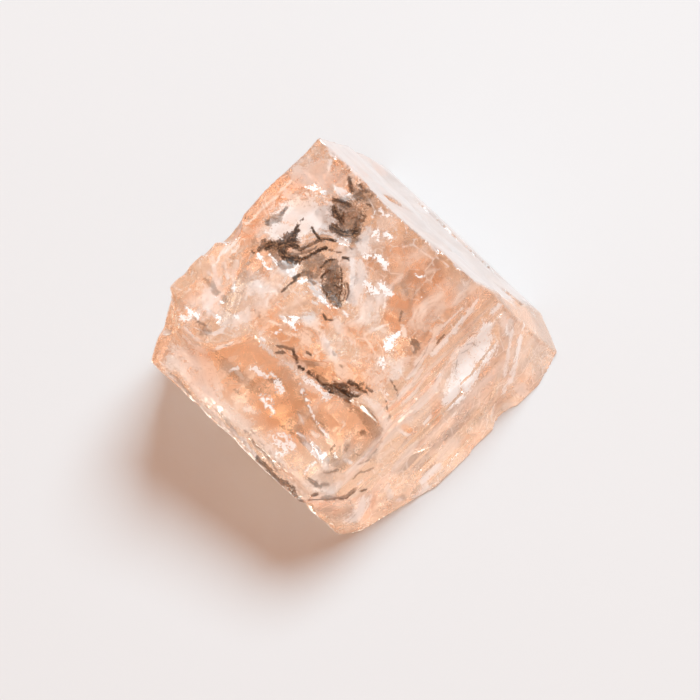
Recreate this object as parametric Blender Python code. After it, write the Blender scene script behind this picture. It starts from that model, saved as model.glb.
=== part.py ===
"""A rough crystal of imperial topaz: one leaning block, split along its cleavage and chipped all over.

The block stands on its flat base, with its origin in the middle of the base's box. X and Y run along its two
pairs of sides and Z is up. The sides are called right (+X), left (-X), back (+Y) and front (-Y).
Run it with: blender --background --python part.py
"""

import math
import random

import bmesh
import bpy
from mathutils import Matrix, Vector
from mathutils.geometry import intersect_plane_plane

MM = 0.001
SEED = 11

# Sides of the block: how far from the middle each one meets the table, and how far it leans in as it rises.
RIGHT_FOOT = 12.1 * MM
RIGHT_LEAN = math.radians(24.0)
BACK_FOOT = 12.15 * MM
BACK_LEAN = math.radians(23.3)
BACK_SKEW = 0.02
LEFT_FOOT = 9.9 * MM
LEFT_LEAN = math.radians(2.4)
FRONT_FOOT = 10.7 * MM
FRONT_LEAN = math.radians(-15.5)

# The top: its height over the middle of the base, and how much it rises towards +X and +Y.
TOP_HEIGHT = 11.9 * MM
TOP_RISE_X = -0.20
TOP_RISE_Y = 0.19

# The front third of the top has split off one cleavage step lower.
STEP_DROP = 1.25 * MM
STEP_FLOOR_TILT = 0.02

# Thin cleavage leaves on the right side and along the front edge.
# Each row of the right side is the height of a leaf's lower edge, its front and back ends, and how deep it lies.
RIGHT_LEAVES = (
    (5.4, -14.0, 2.4, 0.30),
    (6.5, -14.0, 4.2, 0.42),
    (7.6, -13.0, 6.3, 0.52),
    (8.5, -11.5, 9.5, 0.62),
    (9.3, -6.0, 9.5, 0.72),
    (10.0, -3.5, 8.6, 0.84),
    (10.7, -4.4, 6.0, 0.96),
)
LEAF_SWING = math.radians(1.6)
FRONT_LEAVES = 4
FRONT_LEAF_WIDTH = 0.22 * MM
FRONT_LEAF_THICKNESS = 0.13 * MM
FRONT_LEAF_LENGTHS = (11.5 * MM, 15.5 * MM)
FRONT_LEAF_OVERHANG = 1.0 * MM
FRONT_EDGE_Y = -13.0 * MM

# Thin leaves at the right end of the step's riser.
LEDGE_LEAVES = 3
LEDGE_LEAF_SETBACK = 0.22 * MM

# Cleavage steps on each side: how many, the band of heights they lie in, and the ranges of their sizes.
SIDE_BREAKS = 5
BREAK_LOWEST = 0.8 * MM
BREAK_BAND = 9.5 * MM
RIGHT_BREAK_BAND_SHARE = 0.45
BREAK_REACH = 7.0 * MM
BREAK_LENGTHS = (5.0 * MM, 10.0 * MM)
BREAK_BREADTHS = (1.6 * MM, 3.0 * MM)
BREAK_DEPTHS = (0.10 * MM, 0.24 * MM)
BREAK_SWING = 0.12

# Chips along the long edges.
CHIP_SPACING = 2.3 * MM
CHIP_HALF_LENGTH = 0.95 * MM
CHIP_DEPTH = 0.26 * MM

# The outline of a broken plate: how far its ends slant, as a share of its breadth, and how its edges wander.
END_SLANT = 1.1
PLATE_EDGE_STEP = 1.3 * MM
END_WANDER = 0.32 * MM
LONG_EDGE_WANDER = 0.07 * MM

# How far every cutter reaches out of the block, and the half side of the cube that the block is cut from.
CLEAR = 4.0 * MM
BLOCK_HALF = 20.0 * MM


def top_height(x, y):
    """Height of the whole top plane above a point of the base."""
    return TOP_HEIGHT + TOP_RISE_X * x + TOP_RISE_Y * y


def top_facing():
    return Vector((-TOP_RISE_X, -TOP_RISE_Y, 1.0)).normalized()


def side_facing(direction, lean):
    """Outward normal of a side that faces the given direction and leans in by this angle."""
    return Vector((direction[0] * math.cos(lean), direction[1] * math.cos(lean), math.sin(lean)))


RIGHT_FACING = side_facing((1, 0), RIGHT_LEAN)
BACK_FACING = side_facing((BACK_SKEW, 1), BACK_LEAN)
LEFT_FACING = side_facing((-1, 0), LEFT_LEAN)
FRONT_FACING = side_facing((0, -1), FRONT_LEAN)


def on_top(x, y, drop=0.0):
    return Vector((x, y, top_height(x, y) - drop))


def on_right(y, z):
    return Vector((RIGHT_FOOT - z * math.tan(RIGHT_LEAN), y, z))


def on_back(x, z):
    return Vector((x, BACK_FOOT - BACK_SKEW * x - z * math.tan(BACK_LEAN), z))


def on_left(y, z):
    return Vector((-LEFT_FOOT + z * math.tan(LEFT_LEAN), y, z))


def on_front(x, z):
    return Vector((x, -FRONT_FOOT + z * math.tan(FRONT_LEAN), z))


def clear_scene():
    for obj in list(bpy.data.objects):
        bpy.data.objects.remove(obj, do_unlink=True)


def object_from(name, bm):
    """Makes an object of the closed shape, with its faces turned outwards."""
    bmesh.ops.recalc_face_normals(bm, faces=bm.faces)
    if bm.calc_volume(signed=True) < 0:
        bmesh.ops.reverse_faces(bm, faces=bm.faces)
    mesh = bpy.data.meshes.new(name)
    bm.to_mesh(mesh)
    bm.free()
    obj = bpy.data.objects.new(name, mesh)
    bpy.context.scene.collection.objects.link(obj)
    return obj


def trim(bm, point, facing):
    """Cuts away what lies beyond the plane and closes the cut with one flat face."""
    everything = bm.verts[:] + bm.edges[:] + bm.faces[:]
    cut = bmesh.ops.bisect_plane(bm, geom=everything, plane_co=point, plane_no=facing, clear_outer=True)
    rim = [item for item in cut["geom_cut"] if isinstance(item, bmesh.types.BMEdge)]
    bmesh.ops.contextual_create(bm, geom=rim)


def corner_planes():
    """Flat breaks across the block's corners: a point on each and the way it faces."""
    return (
        (Vector((10.6, -9.4, 0.0)) * MM, Vector((0.80, -0.56, 0.16))),
        (Vector((9.4, 11.4, 0.0)) * MM, Vector((0.38, 0.85, 0.42))),
        (Vector((11.5, 9.3, 0.0)) * MM, Vector((0.88, 0.28, 0.44))),
        (Vector((11.35, -6.0, 0.0)) * MM, Vector((0.95, -0.21, 0.20))),
        (Vector((-8.0, -11.4, 9.0)) * MM, Vector((-0.87, -0.50, 0.02))),
        (Vector((-9.5, 10.8, 0.0)) * MM, Vector((-0.70, 0.70, 0.0))),
        (Vector((-8.0, -7.0, 0.0)) * MM, Vector((-0.45, -0.55, -0.70))),
        (Vector((-9.7, 0.0, 4.0)) * MM, Vector((-0.93, 0.05, -0.20))),
    )


def leaning_block():
    bm = bmesh.new()
    bmesh.ops.create_cube(bm, size=2 * BLOCK_HALF)
    trim(bm, Vector((0, 0, 0)), Vector((0, 0, -1)))
    trim(bm, on_top(0, 0), top_facing())
    trim(bm, on_right(0, 0), RIGHT_FACING)
    trim(bm, on_back(0, 0), BACK_FACING)
    trim(bm, on_left(0, 0), LEFT_FACING)
    trim(bm, on_front(0, 0), FRONT_FACING)
    for point, facing in corner_planes():
        trim(bm, point, facing)
    return object_from("topaz_crystal", bm)


def carve(body, cutter):
    """Takes the cutter's shape out of the body, and leaves the body in triangles so that no wide face can bend."""
    cut = body.modifiers.new(cutter.name, "BOOLEAN")
    cut.operation = "DIFFERENCE"
    # The exact solver leaves open edges on these shallow, nearly parallel cuts. Every mesh here is closed.
    cut.solver = "MANIFOLD"
    cut.object = cutter
    carved = bmesh.new()
    carved.from_object(body, bpy.context.evaluated_depsgraph_get())
    bmesh.ops.triangulate(carved, faces=carved.faces)
    body.modifiers.remove(cut)
    carved.to_mesh(body.data)
    carved.free()
    bpy.data.objects.remove(cutter, do_unlink=True)


def facing_matrix(at, facing, turn):
    """Places local Z along facing at the point, with local X turned about it."""
    facing_turn = facing.to_track_quat("Z", "Y").to_matrix().to_4x4()
    return Matrix.Translation(at) @ facing_turn @ Matrix.Rotation(turn, 4, "Z")


def turn_along(facing, direction):
    """The turn about facing that lays a cutter's length along the direction."""
    frame = facing.to_track_quat("Z", "Y").to_matrix()
    local = frame.inverted() @ direction
    return math.atan2(local.y, local.x)


def join_rings(bm, low, high):
    """A band of faces between two rings that have the same number of corners."""
    for i in range(len(low)):
        j = (i + 1) % len(low)
        bm.faces.new((low[i], low[j], high[j], high[i]))


def close_prism(bm, low, high):
    """A closed prism between two rings."""
    join_rings(bm, low, high)
    bm.faces.new(low)
    bm.faces.new(high)


def scoop(body, name, at, facing, size, turn=0.0, spokes=14, rings=4, ripple=0.0):
    """A shell-shaped break: a dish with an uneven rim, and ripples that spread from its middle.

    size is its half length, half width and depth."""
    half_length, half_width, depth = size
    rng = random.Random(f"{SEED}{name}")
    rim = [1 + rng.uniform(-0.16, 0.16) for _ in range(spokes)]
    matrix = facing_matrix(at, facing, turn)
    bm = bmesh.new()
    middle = bm.verts.new(matrix @ Vector((0, 0, -depth)))
    previous = []
    for ring_number in range(1, rings + 2):
        share = ring_number / rings
        height = depth * (share * share - 1) + ripple * depth * (-1) ** ring_number * (share < 1)
        ring = []
        for spoke in range(spokes):
            angle = 2 * math.pi * (spoke + 0.3 * (ring_number % 2)) / spokes
            reach = share * rim[spoke]
            local = Vector((half_length * reach * math.cos(angle), half_width * reach * math.sin(angle), height))
            ring.append(bm.verts.new(matrix @ local))
        if ring_number == 1:
            for i in range(spokes):
                bm.faces.new((middle, ring[i], ring[(i + 1) % spokes]))
        else:
            join_rings(bm, previous, ring)
        previous = ring
    lid = [bm.verts.new(vertex.co + facing.normalized() * CLEAR) for vertex in previous]
    join_rings(bm, previous, lid)
    bm.faces.new(lid)
    bmesh.ops.triangulate(bm, faces=bm.faces)
    carve(body, object_from(name, bm))


def step_outline():
    """The broken riser of the step in plan, from the left side to the right side."""
    riser = ((-12.0, -9.6), (-8.4, -9.7), (-7.0, -10.3), (-5.6, -10.2), (-4.4, -9.5), (-3.6, -8.0), (-3.0, -6.8),
             (-1.5, -6.7), (-0.6, -6.1), (0.7, -6.2), (1.7, -5.9), (3.3, -6.1), (4.7, -5.2), (6.1, -4.8), (14.0, -3.8))
    front = ((14.0, -18.0), (-12.0, -18.0))
    return [Vector(point) * MM for point in riser + front]


def drop_front_of_top(body):
    """The cleavage step: everything in front of the riser lies lower."""
    bm = bmesh.new()
    low = []
    high = []
    for point in step_outline():
        drop = STEP_DROP + STEP_FLOOR_TILT * (point.y + 6.0 * MM)
        floor = on_top(point.x, point.y, drop)
        low.append(bm.verts.new(floor))
        high.append(bm.verts.new(floor + Vector((0.0, 0.0, CLEAR))))
    close_prism(bm, low, high)
    carve(body, object_from("step_space", bm))


def plate_outline(rng, length, breadth, slant):
    """The outline of a broken plate: its long edges wander a little, and its ends are ragged and aslant."""
    low_slant = rng.uniform(-slant, slant)
    high_slant = rng.uniform(-slant, slant)
    corners = [Vector((x * length / 2, y * breadth / 2)) for x, y in ((-1, -1), (1, -1), (1, 1), (-1, 1))]
    outline = []
    for start, end in zip(corners, corners[1:] + corners[:1]):
        side = end - start
        wander = LONG_EDGE_WANDER if side.y == 0.0 else END_WANDER
        pieces = max(1, round(side.length / PLATE_EDGE_STEP))
        for piece in range(pieces):
            point = start + side * piece / pieces + side.orthogonal().normalized() * rng.uniform(-wander, wander)
            share = point.x / length + 0.5
            outline.append(point + Vector((point.y * (low_slant + (high_slant - low_slant) * share), 0.0)))
    return outline


def slab(body, name, at, facing, size, turn=0.0, tilt=0.0, slant=0.0):
    """Takes away a plate that is sunk into a side: size is its length, its breadth and how deep it goes.

    Its ends may be broken off aslant, by up to this share of its breadth."""
    length, breadth, depth = size
    matrix = facing_matrix(at, facing, turn) @ Matrix.Rotation(tilt, 4, "X")
    bm = bmesh.new()
    low = []
    high = []
    for x, y in plate_outline(random.Random(f"{SEED}{name}"), length, breadth, slant):
        low.append(bm.verts.new(matrix @ Vector((x, y, -depth))))
        high.append(bm.verts.new(matrix @ Vector((x, y, CLEAR))))
    close_prism(bm, low, high)
    bmesh.ops.triangulate(bm, faces=bm.faces)
    carve(body, object_from(name, bm))


def leaf_right_side(body):
    """Terraces along the right side, each cleavage leaf lying deeper towards the top edge."""
    rng = random.Random(SEED + 1)
    along = turn_along(RIGHT_FACING, Vector((0.0, 1.0, 0.0)))
    up_slope = Vector((-math.sin(RIGHT_LEAN), 0.0, math.cos(RIGHT_LEAN)))
    breadth = 3 * CLEAR
    for number, (low_edge, front_end, back_end, depth) in enumerate(RIGHT_LEAVES, start=1):
        middle = on_right((front_end + back_end) / 2 * MM, low_edge * MM) + up_slope * (breadth / 2)
        size = ((back_end - front_end) * MM, breadth, depth * MM)
        turn = along + rng.uniform(-LEAF_SWING, LEAF_SWING)
        slab(body, f"right_leaf_{number}", middle, RIGHT_FACING, size, turn)


def leaf_ledge(body):
    """Three thin leaves that break back from the right end of the step's riser."""
    turn = turn_along(top_facing(), Vector((1.0, 0.26, 0.0)))
    for number in range(LEDGE_LEAVES):
        setback = LEDGE_LEAF_SETBACK * (number + 1)
        depth = STEP_DROP * (1 - (number + 1) / (LEDGE_LEAVES + 1))
        size = ((3.4 + 0.9 * number) * MM, 2 * setback, depth)
        middle = on_top((3.7 - 0.5 * number) * MM, -5.6 * MM)
        slab(body, f"ledge_leaf_{number + 1}", middle, top_facing(), size, turn, slant=END_SLANT)


def leaf_front_edge(body):
    """Thin leaves that step down to the front edge, each of its own length."""
    rng = random.Random(SEED + 2)
    turn = turn_along(top_facing(), Vector((1.0, 0.045, 0.0)))
    for number in range(FRONT_LEAVES):
        x = (1.8 + rng.uniform(-1.5, 1.5)) * MM
        edge = on_front(x, top_height(x, FRONT_EDGE_Y) - STEP_DROP)
        breadth = FRONT_LEAF_WIDTH * (FRONT_LEAVES - number) + FRONT_LEAF_OVERHANG
        middle = on_top(x, edge.y + breadth / 2 - FRONT_LEAF_OVERHANG, STEP_DROP)
        size = (rng.uniform(*FRONT_LEAF_LENGTHS), breadth, FRONT_LEAF_THICKNESS * (number + 1))
        slab(body, f"front_leaf_{number + 1}", middle, top_facing(), size, turn, slant=END_SLANT)


def side_frames():
    """Each side's name, a function that gives its points, the way it faces, and the run of its cleavage."""
    return (
        ("left", on_left, LEFT_FACING, Vector((0.0, 1.0, 0.12))),
        ("back", on_back, BACK_FACING, Vector((1.0, 0.0, -0.16))),
        ("front", on_front, FRONT_FACING, Vector((1.0, 0.0, -0.18))),
        ("right", on_right, RIGHT_FACING, Vector((0.0, 1.0, 0.05))),
    )


def break_sides(body):
    """Cleavage steps on the sides: each one drops sharply along one edge and runs out along the other."""
    rng = random.Random(SEED + 4)
    for name, on_side, facing, run in side_frames():
        for number in range(SIDE_BREAKS):
            height = BREAK_LOWEST + BREAK_BAND * (number + rng.uniform(0.2, 0.8)) / SIDE_BREAKS
            # The leaves fill the upper part of the right side.
            if name == "right":
                height *= RIGHT_BREAK_BAND_SHARE
            at = on_side(rng.uniform(-BREAK_REACH, BREAK_REACH), height)
            breadth = rng.uniform(*BREAK_BREADTHS)
            depth = rng.uniform(*BREAK_DEPTHS)
            tilt = math.atan2(2 * depth, breadth) * rng.choice((-1, 1))
            turn = turn_along(facing, run) + rng.uniform(-BREAK_SWING, BREAK_SWING)
            size = (rng.uniform(*BREAK_LENGTHS), breadth, depth)
            slab(body, f"{name}_break_{number + 1}", at, facing, size, turn, tilt, END_SLANT)


def scoop_top(body):
    """The shell-shaped breaks and pits of the top's upper part."""
    up = top_facing()
    scoop(body, "pale_shell", on_top(-5.2 * MM, 0.3 * MM), up, (3.4 * MM, 2.0 * MM, 0.62 * MM),
          math.radians(62), rings=5, ripple=0.05)
    scoop(body, "dark_pit", on_top(-3.3 * MM, 3.4 * MM), up, (1.9 * MM, 1.35 * MM, 0.75 * MM), math.radians(40))
    scoop(body, "ridge_pit", on_top(-5.0 * MM, 5.2 * MM), up, (1.6 * MM, 1.0 * MM, 0.6 * MM), math.radians(-5))
    scoop(body, "rippled_fan", on_top(-1.4 * MM, -0.9 * MM), up, (1.9 * MM, 1.3 * MM, 0.65 * MM),
          math.radians(-50), rings=7, ripple=0.06)
    scoop(body, "far_hollow", on_top(-7.0 * MM, 4.4 * MM), up, (1.7 * MM, 1.3 * MM, 0.3 * MM), math.radians(20))
    scoop(body, "middle_hollow", on_top(2.2 * MM, 1.6 * MM), up, (3.0 * MM, 2.1 * MM, 0.34 * MM), math.radians(70))
    scoop(body, "ledge_hollow", on_top(-1.4 * MM, -3.4 * MM), up, (1.9 * MM, 0.9 * MM, 0.35 * MM), math.radians(14))
    scoop(body, "nose_hollow", on_top(-6.6 * MM, -6.3 * MM), up, (2.5 * MM, 1.6 * MM, 0.42 * MM), math.radians(80))
    scoop(body, "left_bite", on_top(-9.5 * MM, -3.2 * MM, 0.2 * MM), Vector((-0.8, 0.0, 0.6)),
          (2.3 * MM, 1.7 * MM, 0.8 * MM), math.radians(90))
    scoop(body, "left_nibble", on_top(-9.6 * MM, 2.6 * MM, 0.1 * MM), Vector((-0.8, 0.0, 0.6)),
          (1.6 * MM, 1.0 * MM, 0.32 * MM), math.radians(90))
    scoop(body, "nose_notch", on_top(-8.6 * MM, -10.8 * MM, 0.9 * MM), Vector((-0.90, -0.25, 0.35)),
          (2.0 * MM, 1.5 * MM, 1.2 * MM))


def scoop_step(body):
    """The lower part of the top: a wide clear window and small breaks round it."""
    up = top_facing()
    scoop(body, "window", on_top(-0.4 * MM, -9.6 * MM, STEP_DROP), up, (4.6 * MM, 2.5 * MM, 0.3 * MM),
          math.radians(4), rings=3)
    scoop(body, "window_end", on_top(5.2 * MM, -8.3 * MM, STEP_DROP), up, (2.2 * MM, 1.5 * MM, 0.42 * MM),
          math.radians(-50))
    scoop(body, "corner_break", on_top(8.2 * MM, -10.4 * MM, STEP_DROP), Vector((0.45, -0.1, 0.9)),
          (1.9 * MM, 1.3 * MM, 0.45 * MM), math.radians(-60))


def scoop_sides(body):
    """Broad shell-shaped breaks on the four sides."""
    along = turn_along(RIGHT_FACING, Vector((0, 1, 0)))
    inward = RIGHT_FACING * (-0.5 * MM)
    scoop(body, "right_step", on_right(-4.4 * MM, 7.0 * MM) + inward, RIGHT_FACING, (2.4 * MM, 1.1 * MM, 0.4 * MM),
          along + 0.15)
    scoop(body, "right_flake", on_right(3.4 * MM, 7.7 * MM) + inward, RIGHT_FACING, (3.3 * MM, 1.2 * MM, 0.55 * MM),
          along + 0.12)
    scoop(body, "right_foot_hollow", on_right(4.3 * MM, 0.9 * MM), RIGHT_FACING, (2.2 * MM, 1.9 * MM, 0.65 * MM),
          along)
    scoop(body, "right_foot_bite", on_right(-5.6 * MM, 2.3 * MM), RIGHT_FACING, (3.2 * MM, 1.5 * MM, 0.3 * MM), along)
    scoop(body, "back_crest_bow", on_back(-2.0 * MM, 12.2 * MM), BACK_FACING, (4.8 * MM, 2.4 * MM, 0.4 * MM),
          turn_along(BACK_FACING, Vector((1, 0, 0))), rings=3)
    scoop(body, "back_wide_shell", on_back(2.5 * MM, 5.2 * MM), BACK_FACING, (6.2 * MM, 3.6 * MM, 0.55 * MM),
          turn_along(BACK_FACING, Vector((1, 0, 0))), rings=5, ripple=0.05)
    scoop(body, "back_low_shell", on_back(-5.6 * MM, 3.6 * MM), BACK_FACING, (3.4 * MM, 2.6 * MM, 0.5 * MM), 0.4)
    scoop(body, "left_wide_shell", on_left(2.6 * MM, 7.6 * MM), LEFT_FACING, (4.8 * MM, 3.4 * MM, 0.9 * MM), 0.3,
          rings=5, ripple=0.05)
    scoop(body, "left_low_shell", on_left(-4.6 * MM, 4.6 * MM), LEFT_FACING, (3.6 * MM, 3.0 * MM, 0.8 * MM), 1.2)
    scoop(body, "left_foot_shell", on_left(6.5 * MM, 2.0 * MM), LEFT_FACING, (3.0 * MM, 1.8 * MM, 0.6 * MM), 0.8)
    scoop(body, "front_wide_shell", on_front(-2.6 * MM, 4.4 * MM), FRONT_FACING, (4.4 * MM, 2.8 * MM, 0.8 * MM), 0.2,
          rings=5, ripple=0.05)
    scoop(body, "front_low_shell", on_front(5.2 * MM, 3.2 * MM), FRONT_FACING, (3.6 * MM, 2.2 * MM, 0.7 * MM), 0.9)


def crease(first, second, axis, place):
    """The point where two planes meet, at this coordinate along an axis; a plane is a point and a normal."""
    start, direction = intersect_plane_plane(first[0], first[1], second[0], second[1])
    return start + direction * ((place * MM - start[axis]) / direction[axis])


def long_edges():
    """The long edges that carry chips: two ends and the way the chips face."""
    top = (on_top(0, 0), top_facing())
    step = (on_top(0, 0, STEP_DROP), top_facing())
    right = (on_right(0, 0), RIGHT_FACING)
    shoulder = (on_right(0, 0) - RIGHT_FACING * RIGHT_LEAVES[-1][3] * MM, RIGHT_FACING)
    back = (on_back(0, 0), BACK_FACING)
    left = (on_left(0, 0), LEFT_FACING)
    front = (on_front(0, 0), FRONT_FACING)
    corner, far_corner = corner_planes()[:2]
    along_back = back[1] + far_corner[1]
    return (
        ("crest", crease(top, back, 0, -8.4), crease(top, back, 0, 5.4), top[1] + back[1]),
        ("shoulder", crease(top, shoulder, 1, 5.6), crease(top, shoulder, 1, -3.6), top[1] + right[1]),
        ("far_edge", crease(top, left, 1, 5.6), crease(top, left, 1, -8.6), top[1] + left[1]),
        ("front_edge", crease(step, front, 0, -5.6), crease(step, front, 0, 8.4), step[1] + front[1]),
        ("corner_edge", crease(corner, front, 2, 6.2), crease(corner, front, 2, 0.8), corner[1] + front[1]),
        ("right_corner", crease(back, far_corner, 2, 8.0), crease(back, far_corner, 2, 0.8), along_back),
    )


def chip_edges(body):
    """Small chips at uneven steps along each long edge."""
    rng = random.Random(SEED + 3)
    for name, start, end, facing in long_edges():
        count = max(2, round((end - start).length / CHIP_SPACING))
        for number in range(count):
            share = (number + rng.uniform(0.2, 0.8)) / count
            at = start.lerp(end, share)
            scale = rng.uniform(0.55, 1.25)
            size = (CHIP_HALF_LENGTH * scale, CHIP_HALF_LENGTH * scale * 0.7, CHIP_DEPTH * scale)
            turn = turn_along(facing.normalized(), (end - start).normalized()) + rng.uniform(-0.4, 0.4)
            lean = Vector((rng.uniform(-0.15, 0.15), rng.uniform(-0.15, 0.15), 0.0))
            scoop(body, f"{name}_chip_{number + 1}", at, (facing + lean).normalized(), size, turn, spokes=7, rings=2)


def topaz_material():
    material = bpy.data.materials.new("peach_topaz")
    material.use_nodes = True
    shader = material.node_tree.nodes["Principled BSDF"]
    shader.inputs["Base Color"].default_value = (0.89, 0.60, 0.42, 1.0)
    shader.inputs["Roughness"].default_value = 0.08
    shader.inputs["Metallic"].default_value = 0.0
    shader.inputs["IOR"].default_value = 1.62
    shader.inputs["Transmission Weight"].default_value = 1.0
    return material


def linked_faces(start):
    """Every face that can be reached from this one across edges."""
    found = {start}
    waiting = [start]
    while waiting:
        for edge in waiting.pop().edges:
            for face in edge.link_faces:
                if face not in found:
                    found.add(face)
                    waiting.append(face)
    return found


def drop_crumbs(mesh):
    """Removes crumbs that the carving cut free, so that one solid is left."""
    bm = bmesh.new()
    bm.from_mesh(mesh)
    bodies = []
    seen = set()
    for face in bm.faces:
        if face not in seen:
            bodies.append(linked_faces(face))
            seen |= bodies[-1]
    largest = max(bodies, key=len)
    bmesh.ops.delete(bm, geom=[face for face in bm.faces if face not in largest], context="FACES")
    bm.to_mesh(mesh)
    bm.free()


def settle_on_base(body):
    """Puts the origin in the middle of the base."""
    mesh = body.data
    drop_crumbs(mesh)
    low = Vector(min(v.co[axis] for v in mesh.vertices) for axis in range(3))
    high = Vector(max(v.co[axis] for v in mesh.vertices) for axis in range(3))
    middle = (low + high) / 2
    mesh.transform(Matrix.Translation((-middle.x, -middle.y, -low.z)))


def build():
    clear_scene()
    crystal = leaning_block()
    drop_front_of_top(crystal)
    leaf_right_side(crystal)
    leaf_ledge(crystal)
    leaf_front_edge(crystal)
    break_sides(crystal)
    chip_edges(crystal)
    scoop_top(crystal)
    scoop_step(crystal)
    scoop_sides(crystal)
    settle_on_base(crystal)
    crystal.data.materials.clear()
    crystal.data.materials.append(topaz_material())


build()
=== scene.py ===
"""A rough piece of imperial topaz on a pale table: clear and peach-orange, milky where it broke, with painted
dark reflections and painted glints.
"""

import math

import bmesh
import bpy
import numpy as np
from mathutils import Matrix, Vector


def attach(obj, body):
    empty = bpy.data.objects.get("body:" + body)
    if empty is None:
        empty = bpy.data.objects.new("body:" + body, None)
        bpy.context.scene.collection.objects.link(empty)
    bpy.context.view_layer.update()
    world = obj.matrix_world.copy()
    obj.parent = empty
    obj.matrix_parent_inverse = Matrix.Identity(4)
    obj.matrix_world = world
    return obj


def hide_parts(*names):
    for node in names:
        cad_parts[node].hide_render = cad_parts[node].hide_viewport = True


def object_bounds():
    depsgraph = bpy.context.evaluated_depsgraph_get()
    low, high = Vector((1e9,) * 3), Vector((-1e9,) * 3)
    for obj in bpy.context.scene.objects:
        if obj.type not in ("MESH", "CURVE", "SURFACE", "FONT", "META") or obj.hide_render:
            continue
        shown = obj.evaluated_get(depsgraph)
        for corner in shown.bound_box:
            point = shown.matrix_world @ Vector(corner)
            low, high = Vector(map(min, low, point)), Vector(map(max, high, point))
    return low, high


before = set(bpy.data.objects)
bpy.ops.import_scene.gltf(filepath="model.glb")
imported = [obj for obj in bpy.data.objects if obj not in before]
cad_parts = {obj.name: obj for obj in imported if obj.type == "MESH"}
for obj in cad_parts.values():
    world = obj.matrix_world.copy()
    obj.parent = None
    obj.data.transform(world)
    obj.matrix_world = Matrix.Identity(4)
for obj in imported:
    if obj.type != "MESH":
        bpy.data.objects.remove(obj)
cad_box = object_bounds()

MM = 0.001

# The crystal was laid out from a point of the table that lies here from the middle of its base, in millimetres.
LAYOUT_ORIGIN = np.array((-1.167, 0.471, 0.0))

# The crystal's top: its height over the layout's origin and how much it rises towards +X and +Y.
TOP_HEIGHT, TOP_RISE_X, TOP_RISE_Y = 11.9, -0.20, 0.19

# How far its sides lean in as they rise; the front leans out.
RIGHT_LEAN, BACK_LEAN, FRONT_LEAN = math.radians(24.0), math.radians(23.3), math.radians(-15.5)

# How finely the stone's skin is divided, and the most triangles that it may keep.
SKIN_VOXEL = 0.105
MOST_TRIANGLES = 197000
SHARP_EDGE = math.radians(30)

# Depths under the plane of the top, in millimetres: where the upper top ends, and where the step's floor begins
# and ends. Each pair is a soft edge.
TOP_END, UPPER_END = (3.4, 2.6), (1.05, 0.75)
FLOOR_START, FLOOR_END = (0.9, 1.1), (3.2, 2.6)

# Heights over the table between which the right side turns leafy.
LEAFY_HEIGHTS = (4.0, 6.5)

# The dark fan on the top: its middle, its reach, the rim that its ripples spread from, and their height and
# spacing.
FAN_MIDDLE, FAN_REACH, FAN_RIM = (-1.5, -0.9), 1.75, (-3.1, 0.9)
FAN_RIPPLE, FAN_SPACING = 0.035, 0.36

# The notch in the left side where the step begins: its middle, its soft edge and its depth.
NOTCH_MIDDLE, NOTCH_EDGE, NOTCH_DEPTH = (-7.3, -10.4), (1.1, 0.2), 0.45

# The colours of the stone's finishes.
# Clear skin, a painted shade that dims and cools it where frosted, and amber.
CLEAR, SHADED, AMBER = (1.0, 0.985, 0.97, 1), (0.84, 0.87, 0.89, 1), (0.95, 0.46, 0.225, 1)
FROST = (0.86, 0.80, 0.74, 1)
MILK, PEACH_MILK = (0.80, 0.78, 0.775, 1), (0.86, 0.65, 0.50, 1)
# Painted dark reflections, near black and brown, where dark surroundings would show in the breaks.
DARK_REFLECTION, BROWN_REFLECTION = (0.030, 0.017, 0.012, 1), (0.38, 0.19, 0.10, 1)
# A painted highlight: the white of the glints.
GLINT = (1, 1, 1, 1)
# A pale coat on the back face that stands in for its bright sheen.
SHEEN_VEIL = (0.685, 0.645, 0.637, 1)
INSIDE = (0.96, 0.55, 0.19, 1)

# Faint light that stands in for what scatters inside the stone: on open skin and where it is fullest.
OPEN_LIGHT, FULL_LIGHT = (0.05, 0.032, 0.022, 1), (0.255, 0.152, 0.095, 1)
# Painted glow on milky skin, strongest on the leafy right side, and on the painted glints.
MILK_LIGHT, LEAF_LIGHT = (0.05, 0.043, 0.04, 1), (0.29, 0.262, 0.245, 1)
GLINT_LIGHT = (0.16, 0.15, 0.145, 1)

# How strongly topaz bends light, and how fast its body colours the light that passes, per metre.
TOPAZ_IOR = 1.62
BODY_DENSITY = 24.0

# The studio, in metres: white paper on a table, warm light from all round and one large lamp behind the stone.
TABLE_SIZE, TABLE_GAP = 12.0, 0.00003
PAPER = (0.80, 0.79, 0.79, 1)
SURROUND, SURROUND_STRENGTH = (1.0, 0.62, 0.455, 1), 0.60
LAMP_TOWARDS, LAMP_DISTANCE, LAMP_SIZE = Vector((-0.27, 0.78, 1.0)), 0.9, 0.54
LAMP_COLOUR, LAMP_POWER = (0.640, 0.880, 0.995), 9.0

# The camera: how far it is turned from the front, how steeply it looks down and how far off it is, and how many
# pixels it sees across and how much of the stone each shows, in millimetres.
CAMERA_TURN, CAMERA_RISE, CAMERA_DISTANCE = math.radians(45.0), math.radians(70.0), 0.300
VIEW_PIXELS, PIXEL, SENSOR_WIDTH = 700, 0.075, 36.0

# The kinds of marks, how much wider than its half width a mark fades out, and how far apart the fibres of two
# marks start.
# Milk and amber are the stone's own colours; dark marks are painted reflections, glints painted highlights.
MARK_KINDS = ("smoke", "milk", "glint", "amber")
MARK_SPREAD, FIBRE_SHIFT = 1.6, 3.7
WHOLE_TURN = 6.28

# How far apart the waves in a shell-shaped break are, in millimetres.
RIPPLE_SPACING = 0.34

# The planes that the marks are laid on: how far under the top each group's lies, and how far inside the right
# side, whose foot is this far from the layout's origin and which leans in this much as it rises.
TOP_DROP, LEDGE_DROP, EDGE_DROP, STEP_DROP = 0.1, 0.5, 1.5, 1.3
RIGHT_DEPTH, RIGHT_FOOT, RIGHT_SLOPE = 0.5, 12.1, 0.4452
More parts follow.
